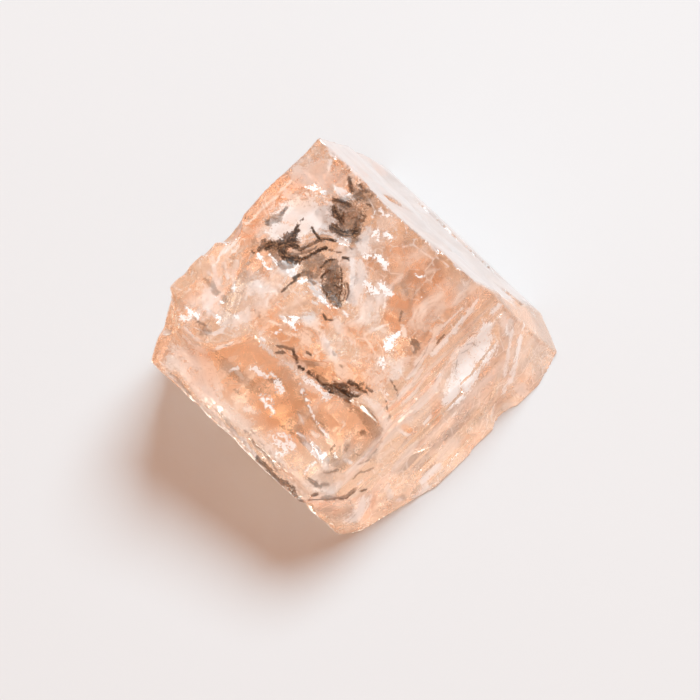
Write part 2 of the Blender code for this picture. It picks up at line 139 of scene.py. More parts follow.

# Marks on the stone's skin: what a mark is, its half width and strength, and the points that it runs through.
# Half widths and points are in pixels of the camera's view.
TOP_MARKS = (
    ("smoke", 1.3, 1, ((303, 218), (299, 224), (295, 230))),
    ("smoke", 3, 1, ((297, 229), (292, 235))),
    ("smoke", 2.2, 0.9, ((292, 232), (284, 239), (276, 243))),
    ("smoke", 6.4, 1, ((292, 236), (286, 241), (280, 245))),
    ("smoke", 3.6, 1, ((280, 245), (273, 244), (268, 248))),
    ("smoke", 3.2, 1, ((286, 243), (296, 245))),
    ("smoke", 5.2, 1, ((282, 250), (284, 255), (289, 258), (296, 258))),
    ("smoke", 1.9, 1, ((297, 259), (305, 257), (313, 253), (320, 250), (326, 249))),
    ("smoke", 1.8, 0.85, ((299, 247), (308, 244), (316, 240), (324, 240))),
    ("smoke", 1.5, 1, ((312, 226), (315, 232), (320, 238), (326, 241), (335, 243))),
    ("smoke", 1.4, 0.6, ((285, 252), (296, 253), (308, 250), (318, 246))),
    ("smoke", 4, 0.55, ((268, 224), (272, 222), (278, 219))),
    ("smoke", 1.6, 0.8, ((268, 225), (274, 219), (277, 221))),
    ("smoke", 1.6, 0.75, ((281, 216), (286, 208))),
    ("smoke", 1.3, 0.9, ((268, 219), (270, 222))),
    ("smoke", 2.2, 0.85, ((263, 241), (263, 247), (259, 251))),
    ("smoke", 1.4, 0.7, ((252, 252), (255, 254))),
    ("smoke", 3.6, 0.6, ((272, 249), (276, 258), (283, 267))),
    ("smoke", 3, 0.6, ((286, 262), (285, 268), (292, 264))),
    ("smoke", 12, 0.6, ((343, 211), (351, 219), (346, 228))),
    ("smoke", 2.3, 0.95, ((334, 201), (341, 203), (350, 208))),
    ("smoke", 3.7, 1, ((334, 209), (336, 216), (341, 219))),
    ("smoke", 2, 0.8, ((341, 206), (347, 209))),
    ("smoke", 1.5, 0.9, ((330, 226), (332, 233))),
    ("smoke", 5.2, 1, ((335, 229), (342, 231), (350, 232), (356, 230))),
    ("smoke", 1, 0.95, ((333, 213), (338, 209), (344, 214), (341, 222))),
    ("smoke", 0.9, 0.9, ((347, 212), (352, 216), (357, 214), (361, 219))),
    ("smoke", 1.4, 0.75, ((339, 223), (348, 227), (357, 231))),
    ("smoke", 2.8, 0.8, ((356, 222), (360, 229))),
    ("smoke", 1.1, 0.9, ((358, 219), (364, 219))),
    ("smoke", 0.8, 0.8, ((361, 212), (366, 216), (361, 221))),
    ("smoke", 1, 0.6, ((345, 213), (351, 215), (357, 218))),
    ("smoke", 3.4, 0.55, ((352, 240), (357, 241))),
    ("smoke", 1.2, 0.8, ((368, 205), (371, 207))),
    ("smoke", 2.1, 0.85, ((349, 179), (350, 185), (352, 190))),
    ("smoke", 2.8, 0.7, ((355, 196), (360, 191), (364, 197), (358, 199))),
    ("smoke", 1.2, 0.75, ((358, 184), (364, 189), (369, 192))),
    ("smoke", 1, 0.6, ((366, 196), (373, 196))),
    ("smoke", 7, 0.3, ((358, 190), (366, 196))),
    ("smoke", 9, 0.72, ((332, 270), (331, 280), (333, 288))),
    ("smoke", 5, 0.85, ((329, 284), (334, 293), (337, 303))),
    ("smoke", 1.4, 0.95, ((321, 268), (327, 262), (335, 262))),
    ("smoke", 1.2, 0.95, ((320, 276), (326, 272), (334, 271))),
    ("smoke", 1, 0.9, ((330, 278), (337, 276), (341, 279))),
    ("smoke", 1.8, 0.95, ((322, 284), (327, 290), (330, 297))),
    ("smoke", 1, 0.9, ((329, 287), (335, 284), (340, 287))),
    ("smoke", 1.2, 0.95, ((334, 296), (339, 292))),
    ("smoke", 0.8, 0.9, ((342, 268), (342, 280), (340, 294), (338, 306))),
    ("smoke", 0.9, 0.8, ((328, 251), (336, 253), (342, 254))),
    ("smoke", 1.5, 0.95, ((343, 258), (349, 260))),
    ("smoke", 0.8, 0.6, ((350, 247), (354, 251))),
    ("smoke", 3.4, 0.55, ((305, 263), (312, 259), (318, 256))),
    ("smoke", 3.6, 0.5, ((306, 270), (312, 264), (320, 258))),
    ("smoke", 2.4, 0.5, ((320, 263), (317, 271), (313, 276))),
    ("smoke", 2.6, 0.75, ((303, 273), (309, 272), (309, 276))),
    ("smoke", 1.8, 0.95, ((295, 279), (300, 275))),
    ("smoke", 1.3, 0.85, ((296, 281), (290, 286), (283, 293))),
    ("smoke", 1.8, 0.6, ((309, 279), (314, 282))),
    ("smoke", 1.1, 0.9, ((323, 315), (327, 320), (333, 322))),
    ("smoke", 1.2, 0.9, ((305, 352), (311, 357))),
    ("smoke", 3.4, 0.65, ((413, 344), (417, 347))),
    ("smoke", 1.6, 0.6, ((415, 350), (415, 353))),
    ("smoke", 1.1, 0.6, ((437, 340), (440, 335), (444, 330))),
    ("smoke", 1.2, 0.6, ((402, 312), (399, 320))),
    ("smoke", 0.8, 0.8, ((348, 283), (349, 292), (347, 300))),
    ("smoke", 0.7, 0.7, ((345, 284), (346, 293), (344, 299))),
    ("smoke", 1, 0.6, ((198, 322), (207, 326))),
    ("smoke", 3.2, 0.45, ((213, 284), (216, 290))),
    ("smoke", 2.2, 0.4, ((206, 281), (210, 284))),
    ("smoke", 2.2, 0.35, ((221, 295), (225, 300))),
    ("smoke", 2.6, 0.45, ((201, 335), (205, 331), (210, 334))),
    ("smoke", 2.2, 0.35, ((196, 318), (199, 326))),
    ("smoke", 4, 0.22, ((183, 310), (176, 300))),
    ("smoke", 1.2, 0.5, ((333, 352), (335, 356))),
    ("smoke", 1.2, 0.5, ((339, 366), (341, 368))),
    ("milk", 17, 0.95, ((292, 216), (312, 214), (322, 218))),
    ("milk", 11, 0.95, ((276, 228), (296, 230), (316, 224))),
    ("milk", 6, 0.7, ((368, 232), (363, 244), (366, 254))),
    ("milk", 8, 0.6, ((356, 268), (360, 282), (355, 300))),
    ("milk", 3, 0.8, ((352, 262), (353, 280), (349, 300))),
    ("milk", 11, 0.6, ((288, 266), (272, 284), (256, 290))),
    ("milk", 12, 0.28, ((250, 282), (240, 298))),
    ("milk", 3, 0.4, ((212, 258), (216, 272), (214, 290))),
    ("milk", 2.4, 0.5, ((224, 262), (228, 276))),
    ("milk", 2.2, 0.45, ((236, 262), (232, 278), (236, 292))),
    ("milk", 8, 0.5, ((228, 322), (242, 320), (262, 312))),
    ("milk", 7, 0.7, ((308, 320), (316, 321))),
    ("milk", 4.5, 0.7, ((322, 336), (328, 350), (336, 360))),
    ("milk", 5, 0.4, ((334, 324), (346, 330), (352, 340))),
    ("milk", 4.5, 0.45, ((208, 290), (213, 298), (206, 308))),
    ("milk", 6, 0.35, ((216, 308), (222, 318))),
    ("milk", 3, 0.55, ((186, 330), (194, 340), (204, 348))),
    ("milk", 2, 0.5, ((206, 334), (214, 336), (222, 330))),
    ("milk", 6, 0.35, ((340, 366), (350, 376))),
    ("milk", 7, 0.4, ((372, 300), (366, 318))),
    ("milk", 1.4, 0.5, ((364, 334), (376, 330), (388, 324))),
    ("milk", 1.3, 0.5, ((364, 336), (374, 352), (384, 368))),
    ("milk", 2.2, 0.7, ((402, 325), (404, 336))),
    ("milk", 1.3, 0.7, ((385, 290), (384, 306))),
    ("milk", 2.2, 0.9, ((328, 168), (329, 162))),
    ("milk", 5, 0.55, ((288, 193), (292, 197))),
    ("milk", 15, 0.4, ((300, 178), (320, 172), (336, 186))),
    ("milk", 1.2, 0.7, ((268, 298), (267, 307))),
    ("milk", 1.2, 0.6, ((250, 288), (246, 300))),
    ("glint", 1.6, 0.8, ((380, 211), (384, 216), (389, 217))),
    ("glint", 1.3, 0.8, ((375, 214), (373, 218))),
    ("glint", 1.4, 0.8, ((372, 237), (376, 233), (380, 229))),
    ("glint", 1.2, 0.8, ((378, 241), (377, 234))),
    ("glint", 2.2, 1, ((388, 234), (391, 240))),
    ("glint", 1, 0.7, ((385, 233), (383, 238))),
    ("glint", 2.2, 1, ((366, 258), (370, 258))),
    ("glint", 2.8, 1, ((376, 257), (381, 260), (386, 267))),
    ("glint", 2.4, 0.9, ((365, 285), (372, 286))),
    ("glint", 2.8, 1, ((371, 291), (376, 291))),
    ("glint", 2.6, 1, ((382, 282), (385, 288))),
    ("glint", 2.4, 0.9, ((387, 293), (392, 294))),
    ("glint", 1, 0.9, ((416, 276), (420, 278), (424, 277))),
    ("glint", 0.9, 0.9, ((417, 291), (421, 297))),
    ("glint", 1.6, 1, ((399, 333), (394, 338))),
    ("glint", 4.2, 1, ((391, 340), (389, 348))),
    ("glint", 1, 0.9, ((388, 354), (383, 361))),
    ("glint", 3.4, 1, ((380, 364), (383, 366))),
    ("glint", 2.2, 1, ((302, 280), (305, 280))),
    ("glint", 2, 0.8, ((320, 298), (327, 302))),
    ("glint", 1.2, 0.8, ((313, 302), (316, 304))),
    ("glint", 2.4, 1, ((259, 257), (262, 259))),
    ("glint", 1.2, 1, ((263, 262), (268, 267), (272, 270))),
    ("glint", 1.2, 1, ((271, 254), (274, 259), (277, 265))),
    ("glint", 2.6, 1, ((188, 309), (193, 313), (199, 317))),
    ("glint", 2.6, 0.8, ((180, 319), (187, 317))),
    ("glint", 1.6, 0.8, ((185, 323), (188, 321))),
    ("glint", 1.8, 0.8, ((236, 316), (239, 318))),
    ("glint", 1.8, 0.7, ((233, 289), (235, 286))),
    ("glint", 1.5, 0.8, ((292, 326), (296, 331))),
    ("glint", 1.1, 0.8, ((276, 334), (281, 330))),
    ("glint", 1.3, 0.7, ((342, 311), (348, 316))),
    ("amber", 12, 0.75, ((300, 196), (285, 186), (270, 196))),
    ("amber", 10, 0.5, ((318, 172), (340, 182))),
    ("amber", 16, 0.8, ((425, 330), (405, 345), (425, 310))),
    ("amber", 8, 0.9, ((390, 318), (396, 326))),
    ("amber", 12, 1, ((300, 336), (312, 352), (322, 366), (338, 374))),
    ("amber", 10, 1, ((262, 318), (280, 330), (298, 344))),
    ("amber", 9, 0.9, ((352, 332), (366, 342), (378, 352))),
    ("amber", 8, 0.8, ((330, 312), (318, 330))),
    ("amber", 9, 0.6, ((428, 322), (410, 334))),
    ("amber", 7, 0.8, ((392, 300), (404, 304))),
    ("milk", 1.6, 0.8, ((270, 322), (282, 326))),
    ("milk", 1.4, 0.7, ((286, 334), (296, 338))),
    ("amber", 7, 1, ((326, 372), (340, 380), (356, 382))),
    ("amber", 9, 0.7, ((372, 345), (366, 365), (380, 378))),
    ("amber", 10, 0.5, ((375, 265), (390, 275))),
    ("amber", 9, 0.7, ((262, 206), (252, 222), (244, 236))),
    ("amber", 7, 0.7, ((276, 280), (268, 276))),
    ("amber", 8, 0.6, ((278, 300), (272, 310))),
    ("amber", 16, 0.85, ((425, 276), (438, 302))),
    ("amber", 14, 0.5, ((396, 256), (412, 268))),
)

LEDGE_MARKS = (
    ("smoke", 1.3, 0.4, ((255, 313), (260, 320))),
    ("smoke", 1.5, 0.7, ((277, 349), (285, 350), (293, 353))),
    ("smoke", 1.2, 0.9, ((291, 352), (296, 358), (299, 364))),
    ("smoke", 1.5, 1, ((299, 364), (306, 368), (313, 374), (320, 380))),
    ("smoke", 2, 0.5, ((310, 369), (318, 375), (326, 381))),
    ("smoke", 2.2, 1, ((321, 381), (327, 387), (333, 391))),
    ("smoke", 3, 0.9, ((331, 385), (339, 387), (347, 388))),
    ("smoke", 1.6, 1, ((330, 384), (340, 389), (350, 395), (357, 401))),
    ("smoke", 2.4, 0.75, ((334, 391), (343, 394), (351, 398))),
    ("smoke", 1.6, 0.95, ((349, 384), (358, 389), (367, 397))),
    ("smoke", 1.4, 0.85, ((350, 394), (358, 400), (366, 403))),
    ("smoke", 1.2, 0.8, ((358, 384), (366, 389), (373, 394))),
    ("smoke", 2.6, 0.45, ((352, 391), (362, 396))),
    ("smoke", 5, 0.45, ((367, 416), (373, 424), (377, 431))),
    ("glint", 2, 0.95, ((261, 341), (268, 346), (275, 354))),
    ("glint", 1.6, 0.8, ((283, 358), (292, 363), (298, 371))),
    ("glint", 2.2, 0.95, ((303, 372), (311, 380), (319, 388), (328, 395))),
    ("glint", 1.4, 0.7, ((352, 393), (358, 396))),
    ("amber", 12, 1, ((296, 346), (316, 363), (334, 375), (350, 380), (362, 384))),
)

EDGE_MARKS = (
    ("milk", 1.8, 1, ((231, 429), (246, 444), (257, 457))),
    ("milk", 2.4, 0.7, ((196, 400), (214, 416), (232, 434))),
    ("milk", 2.6, 0.6, ((238, 441), (262, 466), (285, 489), (308, 511))),
    ("milk", 2.2, 0.6, ((168, 374), (182, 388), (196, 402))),
    ("smoke", 1.2, 0.45, ((244, 432), (262, 452), (278, 470))),
    ("smoke", 1.1, 0.4, ((250, 432), (268, 452), (284, 470))),
    ("smoke", 1.1, 0.35, ((206, 402), (222, 417), (236, 431))),
    ("smoke", 2, 0.75, ((257, 458), (270, 471), (280, 481))),
    ("smoke", 2.4, 0.75, ((279, 480), (288, 485), (296, 493))),
    ("smoke", 1.8, 0.7, ((295, 492), (304, 503), (311, 511))),
    ("smoke", 1.2, 0.35, ((160, 366), (176, 380), (190, 394))),
)

STEP_MARKS = (
    ("milk", 5, 0.6, ((282, 360), (291, 362), (300, 370))),
    ("milk", 11, 0.4, ((172, 362), (196, 382), (214, 402))),
    ("milk", 8, 0.35, ((214, 402), (238, 424), (262, 446))),
    ("milk", 9, 0.45, ((262, 446), (284, 468), (304, 490))),
    ("milk", 9, 0.4, ((200, 358), (206, 380))),
    ("milk", 7, 0.4, ((318, 476), (322, 492), (330, 478))),
    ("glint", 3.4, 0.8, ((278, 383), (282, 390))),
    ("glint", 1.6, 0.8, ((270, 371), (277, 380))),
    ("glint", 2.2, 0.75, ((252, 369), (260, 373), (267, 376))),
    ("glint", 1.5, 0.6, ((231, 371), (238, 368))),
    ("glint", 1.8, 0.75, ((261, 396), (266, 408))),
    ("glint", 1.6, 0.75, ((269, 396), (270, 405), (273, 413))),
    ("milk", 2.2, 0.6, ((236, 372), (243, 378))),
    ("milk", 2.6, 0.6, ((246, 408), (257, 412))),
    ("glint", 3.4, 0.6, ((276, 445), (286, 446))),
    ("glint", 3.2, 0.6, ((287, 438), (294, 449))),
    ("glint", 1.7, 0.75, ((275, 457), (283, 453), (292, 454))),
    ("glint", 1.6, 0.6, ((270, 443), (278, 436))),
    ("milk", 5, 0.45, ((208, 362), (214, 374), (218, 385))),
    ("milk", 8, 0.45, ((178, 352), (196, 364))),
    ("milk", 7, 0.3, ((222, 404), (234, 418), (248, 426))),
    ("milk", 6, 0.4, ((306, 384), (318, 392))),
    ("glint", 1.3, 0.75, ((300, 388), (306, 402), (313, 418), (322, 428), (328, 437))),
    ("smoke", 1.2, 0.4, ((300, 388), (306, 406), (313, 421), (324, 434))),
    ("smoke", 9, 0.2, ((284, 376), (295, 392), (302, 410))),
    ("milk", 1, 0.5, ((346, 424), (340, 434))),
    ("glint", 2, 1, ((326, 452), (321, 457))),
    ("glint", 1.6, 1, ((316, 462), (310, 467))),
    ("glint", 1.8, 0.9, ((308, 472), (309, 470))),
    ("milk", 4, 0.6, ((327, 462), (324, 468))),
    ("milk", 5, 0.4, ((314, 486), (316, 500))),
    ("smoke", 1.3, 0.6, ((330, 450), (334, 446))),
    ("smoke", 6, 0.4, ((366, 415), (372, 424), (376, 432))),
    ("smoke", 6, 0.4, ((330, 460), (340, 466))),
    ("smoke", 1.2, 0.7, ((358, 434), (364, 430))),
    ("smoke", 1.5, 0.6, ((344, 451), (349, 447))),
    ("smoke", 3, 0.35, ((331, 463), (342, 466))),
    ("smoke", 1, 0.6, ((322, 474), (332, 472), (340, 472))),
    ("smoke", 8, 0.22, ((338, 460), (356, 452), (372, 446))),
    ("smoke", 8, 0.2, ((326, 476), (330, 490))),
    ("smoke", 1.2, 0.4, ((352, 458), (360, 450))),
    ("smoke", 1, 0.4, ((330, 466), (340, 462), (350, 462))),
    ("smoke", 0.8, 0.6, ((358, 434), (366, 430))),
    ("amber", 28, 1, ((226, 360), (258, 376), (292, 418))),
    ("amber", 15, 0.95, ((250, 364), (272, 380), (288, 402))),
    ("amber", 24, 0.9, ((320, 404), (338, 414), (352, 424))),
    ("amber", 8, 0.5, ((290, 468), (302, 476))),
    ("amber", 6, 0.6, ((304, 410), (310, 424))),
)

RIGHT_MARKS = (
    ("smoke", 0.9, 0.35, ((470, 349), (476, 346), (482, 349))),
    ("smoke", 0.9, 0.35, ((462, 366), (458, 374), (459, 380))),
    ("smoke", 1, 0.3, ((466, 358), (472, 353))),
    ("smoke", 1.1, 0.45, ((434, 380), (442, 376))),
    ("smoke", 1.2, 0.9, ((319, 509), (327, 505), (335, 501), (342, 497), (350, 490), (361, 483))),
    ("smoke", 3.2, 0.6, ((329, 501), (337, 498), (345, 493), (350, 488))),
    ("smoke", 1.6, 0.8, ((320, 503), (323, 499))),
    ("smoke", 1, 0.6, ((326, 496), (330, 492), (334, 490))),
    ("smoke", 1, 0.5, ((352, 476), (360, 470), (370, 466))),
    ("smoke", 1, 0.5, ((340, 458), (350, 455), (362, 454))),
    ("smoke", 0.9, 0.5, ((356, 462), (368, 458), (378, 452))),
    ("milk", 1.4, 0.8, ((322, 481), (326, 476))),
    ("milk", 1.4, 0.7, ((346, 466), (352, 462))),
    ("milk", 1.6, 0.7, ((354, 482), (360, 477))),
    ("milk", 9, 0.75, ((360, 500), (361, 512), (358, 524))),
    ("amber", 3.4, 0.8, ((371, 488), (372, 504), (370, 520))),
    ("amber", 6, 0.8, ((330, 512), (342, 519))),
    ("smoke", 2.2, 0.7, ((323, 492), (326, 494))),
    ("smoke", 1.2, 0.5, ((322, 474), (332, 472), (341, 471))),
    ("smoke", 5.5, 0.4, ((328, 462), (338, 466))),
    ("smoke", 1.5, 0.6, ((344, 452), (349, 447))),
    ("smoke", 1.1, 0.5, ((330, 448), (335, 445))),
    ("smoke", 8, 0.2, ((338, 462), (356, 454), (374, 448))),
    ("smoke", 1.1, 0.45, ((352, 458), (356, 454))),
    ("smoke", 1.1, 0.35, ((368, 449), (384, 444))),
    ("smoke", 1.1, 0.3, ((366, 442), (380, 437))),
    ("smoke", 5, 0.4, ((367, 417), (373, 425), (378, 432))),
    ("milk", 9, 1, ((484, 330), (483, 344), (478, 354))),
    ("milk", 9, 0.9, ((474, 344), (468, 356), (464, 364))),
    ("milk", 10, 1, ((468, 364), (461, 378), (451, 390))),
    ("milk", 6, 0.6, ((458, 352), (448, 366), (438, 380))),
    ("milk", 3, 0.7, ((474, 312), (462, 326), (448, 342), (434, 358))),
    ("milk", 2.6, 0.55, ((446, 332), (434, 348), (418, 366))),
    ("milk", 6, 1, ((454, 390), (444, 398))),
    ("milk", 5, 0.6, ((450, 366), (440, 380), (430, 390))),
    ("glint", 4.5, 0.5, ((483, 332), (484, 342), (481, 350))),
    ("glint", 6, 0.6, ((466, 370), (459, 382), (450, 393))),
    ("glint", 2, 0.8, ((470, 362), (466, 368))),
    ("glint", 1.6, 0.8, ((438, 378), (443, 376))),
    ("glint", 1.2, 0.6, ((445, 398), (450, 397))),
    ("milk", 2, 0.8, ((480, 302), (470, 316), (456, 332))),
    ("milk", 1.6, 0.6, ((466, 312), (456, 322), (444, 334))),
    ("milk", 2.2, 0.45, ((434, 330), (420, 348), (404, 366))),
    ("milk", 2.4, 0.5, ((440, 344), (424, 364), (410, 380))),
    ("milk", 2, 0.5, ((430, 372), (416, 390), (402, 404))),
    ("milk", 3, 0.5, ((414, 366), (400, 380), (384, 398))),
    ("milk", 1.6, 0.75, ((527, 322), (518, 340), (508, 356))),
    ("milk", 4, 0.8, ((520, 336), (512, 354), (504, 376))),
    ("milk", 3.4, 0.6, ((510, 330), (503, 348), (499, 362))),
    ("milk", 7, 0.35, ((500, 318), (508, 322))),
    ("milk", 3, 0.8, ((493, 312), (499, 307))),
    ("milk", 2.2, 0.8, ((505, 325), (504, 331))),
    ("milk", 2.4, 0.8, ((499, 362), (498, 372))),
    ("milk", 3.2, 0.75, ((498, 383), (500, 390))),
    ("milk", 6, 0.35, ((512, 382), (520, 388))),
    ("milk", 1.8, 0.55, ((494, 404), (490, 418))),
    ("milk", 5, 0.35, ((515, 402), (506, 406))),
    ("milk", 2.6, 0.8, ((427, 414), (422, 420))),
    ("milk", 2, 0.7, ((446, 412), (450, 408))),
    ("milk", 5, 0.85, ((436, 463), (426, 470), (420, 478))),
    ("milk", 6, 0.7, ((422, 484), (414, 494))),
    ("milk", 3, 0.6, ((452, 468), (444, 474))),
    ("milk", 8, 0.35, ((452, 440), (440, 452))),
    ("milk", 6, 0.35, ((408, 440), (396, 452), (388, 462))),
    ("milk", 5, 0.5, ((384, 484), (388, 494))),
    ("milk", 2.4, 0.6, ((397, 497), (400, 500))),
    ("milk", 7, 0.5, ((372, 402), (380, 414), (388, 428))),
    ("milk", 3, 0.5, ((398, 398), (412, 384), (424, 370))),
    ("milk", 3, 0.45, ((418, 404), (404, 412))),
    ("milk", 2.4, 0.6, ((402, 416), (410, 420))),
    ("milk", 2.2, 0.6, ((400, 430), (406, 432))),
    ("smoke", 1, 0.7, ((397, 386), (399, 396))),
    ("smoke", 0.9, 0.7, ((387, 401), (387, 410))),
    ("smoke", 1.1, 0.5, ((389, 413), (390, 418))),
    ("smoke", 1.1, 0.35, ((496, 346), (490, 356), (482, 368))),
    ("smoke", 0.8, 0.35, ((432, 350), (424, 360), (418, 370))),
    ("amber", 6, 0.8, ((433, 402), (431, 416))),
    ("amber", 3, 1, ((405, 427), (408, 428))),
    ("amber", 3, 0.9, ((412, 442), (418, 434))),
    ("amber", 10, 0.45, ((466, 436), (474, 446))),
    ("amber", 6, 0.4, ((476, 300), (468, 330))),
    ("amber", 8, 0.4, ((430, 382), (436, 392))),
    ("amber", 10, 0.3, ((530, 380), (520, 370))),
    ("amber", 6, 0.6, ((326, 512), (334, 518))),
)


# ---------------------------------------------------------------- patterns, worked out at the skin's points

def hashed(cells, seed):
    """An even random number between 0 and 1 for each whole-numbered cell."""
    mixed = cells[..., 0] * 374761393 + cells[..., 1] * 668265263 + cells[..., 2] * 2147483647 + seed * 144665
    mixed = (mixed ^ (mixed >> 13)) * 1274126177 & 0x7FFFFFFF
    mixed = (mixed ^ (mixed >> 16)) * 668265263 & 0x7FFFFFFF
    return (mixed ^ (mixed >> 15)) / 0x7FFFFFFF


def soft_noise(points, size, seed):
    """Smooth noise between -1 and 1 with lumps of this size."""
    scaled = points / size
    cell = np.floor(scaled).astype(np.int64)
    inside = scaled - cell
    ease = inside * inside * (3 - 2 * inside)
    total = np.zeros(len(points))
    for corner in np.ndindex(2, 2, 2):
        corner = np.array(corner)
        weight = np.prod(np.where(corner == 1, ease, 1 - ease), axis=1)
        total += weight * hashed(cell + corner, seed)
    return 2 * total - 1


def layered_noise(points, size, seed, layers=3):
    return sum(soft_noise(points, size / 2 ** i, seed + i) / 2 ** i for i in range(layers))


def rise(low, high, values):
    """Climbs softly from 0 to 1 between the two values."""
    share = np.clip((values - low) / (high - low), 0, 1)
    return share * share * (3 - 2 * share)


def unit(vector):
    vector = np.array(vector, float)
    return vector / np.linalg.norm(vector)


TOP_FACING = unit((-TOP_RISE_X, -TOP_RISE_Y, 1.0))
RIGHT_FACING = unit((math.cos(RIGHT_LEAN), 0.0, math.sin(RIGHT_LEAN)))
BACK_FACING = unit((0.0, math.cos(BACK_LEAN), math.sin(BACK_LEAN)))
LEFT_FACING = unit((-1.0, 0.0, 0.04))
FRONT_FACING = unit((0.0, -math.cos(FRONT_LEAN), math.sin(FRONT_LEAN)))
BASE_FACING = unit((0.0, 0.0, -1.0))


def below_top(points):
    """How far each point lies under the plane of the top."""
    return TOP_HEIGHT + TOP_RISE_X * points[:, 0] + TOP_RISE_Y * points[:, 1] - points[:, 2]


def stroke(flat, path, half_width):
    """How near each point of a plane is to a path, 1 on it and 0 from its half width on, and how far it lies
    along the path and across it."""
    nearest = np.full(len(flat), np.inf)
    grain = np.zeros((len(flat), 2))
    path = np.array(path, float)
    before = 0.0
    for start, end in zip(path[:-1], path[1:]):
        run = end - start
        length = np.linalg.norm(run)
        offset = flat - start
        along = np.clip(offset @ run / length, 0, length)
        distance = np.linalg.norm(offset - along[:, None] * run / length, axis=1)
        across = (offset[:, 1] * run[0] - offset[:, 0] * run[1]) / length
        nearer = distance < nearest
        nearest = np.where(nearer, distance, nearest)
        grain[nearer] = np.stack((offset @ run / length + before, across), axis=1)[nearer]
        before += length
    return np.clip(1 - nearest / half_width, 0, 1), grain


# ---------------------------------------------------------------- meshes as arrays

def point_array(mesh):
    points = np.empty(len(mesh.vertices) * 3, np.float32)
    mesh.vertices.foreach_get("co", points)
    return points.reshape(-1, 3).astype(float)


def normal_array(mesh):
    normals = np.empty(len(mesh.vertices) * 3, np.float32)
    mesh.vertices.foreach_get("normal", normals)
    return normals.reshape(-1, 3).astype(float)


def edge_array(mesh):
    edges = np.empty(len(mesh.edges) * 2, np.int32)
    mesh.edges.foreach_get("vertices", edges)
    return edges.reshape(-1, 2)


def put_points(mesh, points):
    mesh.vertices.foreach_set("co", points.astype(np.float32).ravel())
    mesh.update()


def neighbour_mean(values, edges):
    """The mean of each point's neighbours, for one value or three at each point."""
    first, second = edges[:, 0], edges[:, 1]
    count = np.bincount(edges.ravel(), minlength=len(values))
    columns = [np.bincount(first, column[second], len(values))
               + np.bincount(second, column[first], len(values)) for column in values.T]
    return np.stack(columns, axis=1) / count[:, None]


def smoothed(values, edges, rounds):
    for _ in range(rounds):
        values = 0.5 * values + 0.5 * neighbour_mean(values, edges)
    return values


# ---------------------------------------------------------------- the skin

def merged_copy(node, name):
    """A copy of a solid's mesh with its loose triangles joined, in millimetres from the layout's origin."""
    bm = bmesh.new()
    bm.from_mesh(node.data)
    bmesh.ops.remove_doubles(bm, verts=bm.verts, dist=1e-7)
    mesh = bpy.data.meshes.new(name)
    bm.to_mesh(mesh)
    bm.free()
    put_points(mesh, point_array(mesh) / MM - LAYOUT_ORIGIN)
    return mesh


def with_modifier(mesh, kind, **settings):
    """The mesh as one modifier leaves it."""
    holder = bpy.data.objects.new("holder", mesh)
    bpy.context.scene.collection.objects.link(holder)
    modifier = holder.modifiers.new(kind.title(), kind)
    for name, value in settings.items():
        setattr(modifier, name, value)
    graph = bpy.context.evaluated_depsgraph_get()
    made = bpy.data.meshes.new_from_object(holder.evaluated_get(graph))
    bpy.data.objects.remove(holder)
    return made


def side_axes(facing):
    """Two directions that lie in a side: the first level, the second up its slope."""
    level = unit(np.cross((0.0, 0.0, 1.0), facing)) if abs(facing[2]) < 0.999 else np.array((1.0, 0.0, 0.0))
    return level, np.cross(facing, level)


def break_side(points, normals, facing, seed, count, sizes, depth, within=None, stretch=(0.45, 0.9),
               turn=None, ripple=0.0):
    """How deep each point lies in the shell-shaped breaks of one side.

    Each break is a shallow dish, a share of its own size deep, and the deepest of those that overlap wins.
    within gives the weight of the breaks at a point, stretch how narrow they are, turn the run of long ones and
    ripple the height of the waves in them."""
    rng = np.random.default_rng(seed)
    level, slope = side_axes(facing)
    chosen = np.flatnonzero(normals @ facing > 0.55)
    if within is not None:
        chosen = chosen[within[chosen] > 0.01]
    flat = np.stack((points[chosen] @ level, points[chosen] @ slope), axis=1)
    sunk = np.zeros(len(chosen))
    low, high = sizes
    for _ in range(count):
        middle = flat[rng.integers(len(flat))]
        reach = low * (high / low) ** (rng.random() ** 1.6)
        width = reach * rng.uniform(*stretch)
        angle = rng.uniform(0, math.pi) if turn is None else turn + rng.normal(0, 0.16)
        cos, sin = math.cos(angle), math.sin(angle)
        offset = flat - middle
        near = np.flatnonzero((offset ** 2).sum(axis=1) < (1.3 * reach) ** 2)
        along = offset[near] @ (cos, sin)
        across = offset[near] @ (-sin, cos)
        rim = 1 + 0.12 * np.sin(3 * np.arctan2(across, along) + rng.uniform(0, WHOLE_TURN))
        spread = (along / reach) ** 2 + (across / width) ** 2
        tilt = rng.normal(0, 0.35) * along / reach
        dish = depth * reach * (rim - spread + tilt)
        if ripple:
            waves = np.sqrt(spread) * reach / RIPPLE_SPACING + rng.uniform(0, WHOLE_TURN)
            dish += ripple * np.cos(waves * WHOLE_TURN) * rise(1.0, 0.6, spread) * rise(0.1, 0.4, spread)
        sunk[near] = np.maximum(sunk[near], dish)
    result = np.zeros(len(points))
    result[chosen] = sunk * (within[chosen] if within is not None else 1.0)
    return result


def zone(points, middle, reach):
    """1 in the middle of a round zone of the layout, 0 past its reach."""
    distance = np.linalg.norm(points[:, :2] - np.array(middle), axis=1) / reach
    return np.clip(1 - distance ** 2, 0, 1) ** 0.5


def hackly_share(points):
    """Where the top is hackly: on the left, at the middle of the ledge and a little round its middle."""
    return np.clip(zone(points, (-5.6, -4.6), 4.6) + 0.8 * zone(points, (-0.6, -2.6), 4.2)
                   + 0.35 * zone(points, (0.0, 2.0), 6.0), 0, 1)


